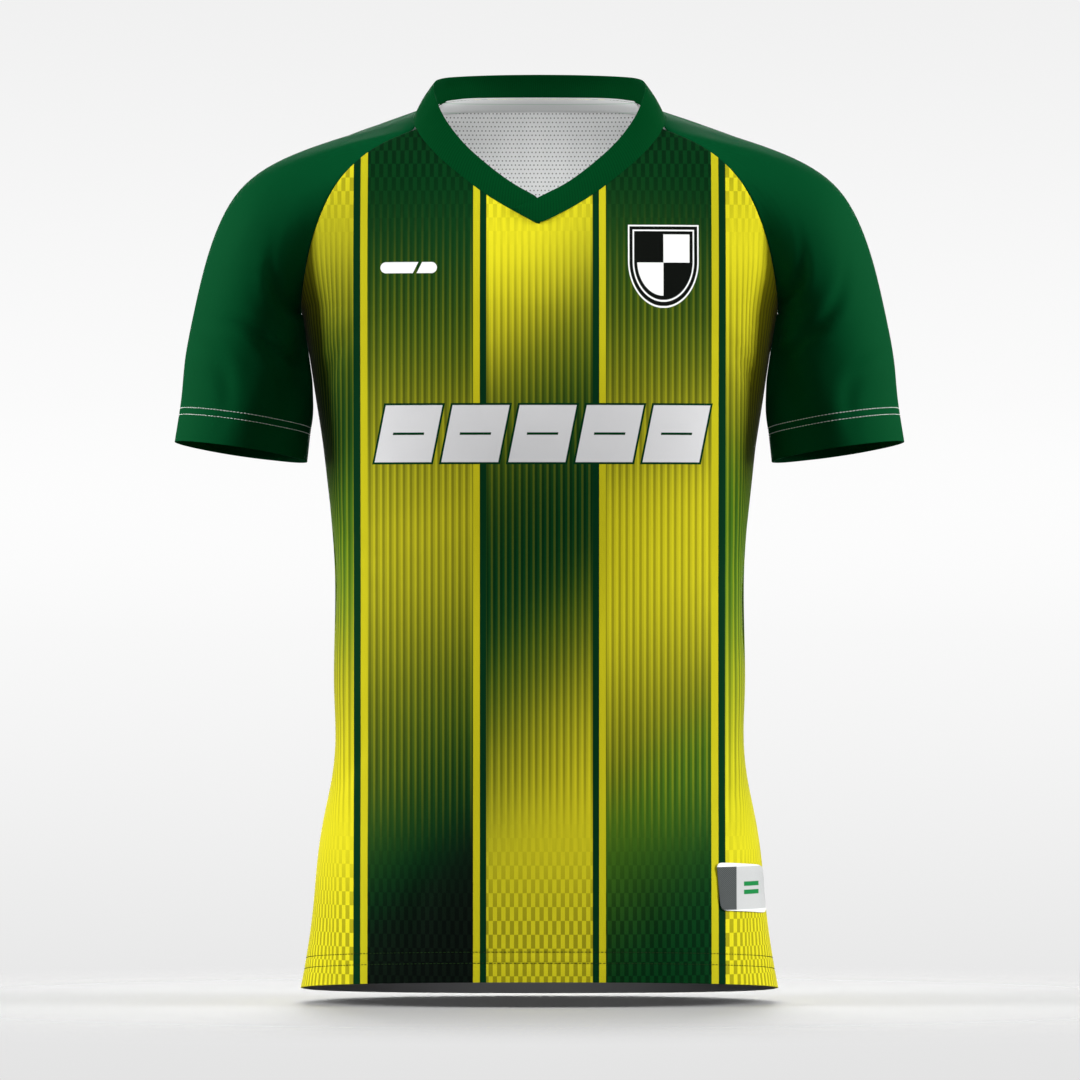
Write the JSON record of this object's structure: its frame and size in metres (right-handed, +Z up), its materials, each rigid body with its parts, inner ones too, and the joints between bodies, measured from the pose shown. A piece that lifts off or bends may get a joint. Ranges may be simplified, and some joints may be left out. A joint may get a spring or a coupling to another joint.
{
  "type": "football jersey",
  "caption": "Short-sleeved football jersey with raglan sleeves and a lapped V-neck collar, standing hollow in the shape of an upright wearer.",
  "frame": {"origin": "middle of the neck opening at the height where the collar seam crosses the top of the shoulders", "axes": "+Z up, the front faces -Y, and +X is to the right as one faces the front, on the wearer's left"},
  "size_m": [0.5832, 0.2686, 0.742],
  "materials": {
    "front": "fine smooth polyester knit, printed yellow and green",
    "back": "fine smooth polyester knit, printed yellow and green",
    "sleeve": "fine smooth polyester knit, dark green with a soft sheen",
    "collar": "dark green flat rib knit",
    "tape": "smooth light grey tape",
    "label": "pale grey pressed-on label with a slight gloss"
  },
  "bodies": {
    "root": {"front": "front", "back": "back", "sleeve_left": "sleeve", "sleeve_right": "sleeve", "collar": "collar", "neck_tape": "tape", "hem_label": "label"}
  },
  "joints": []
}
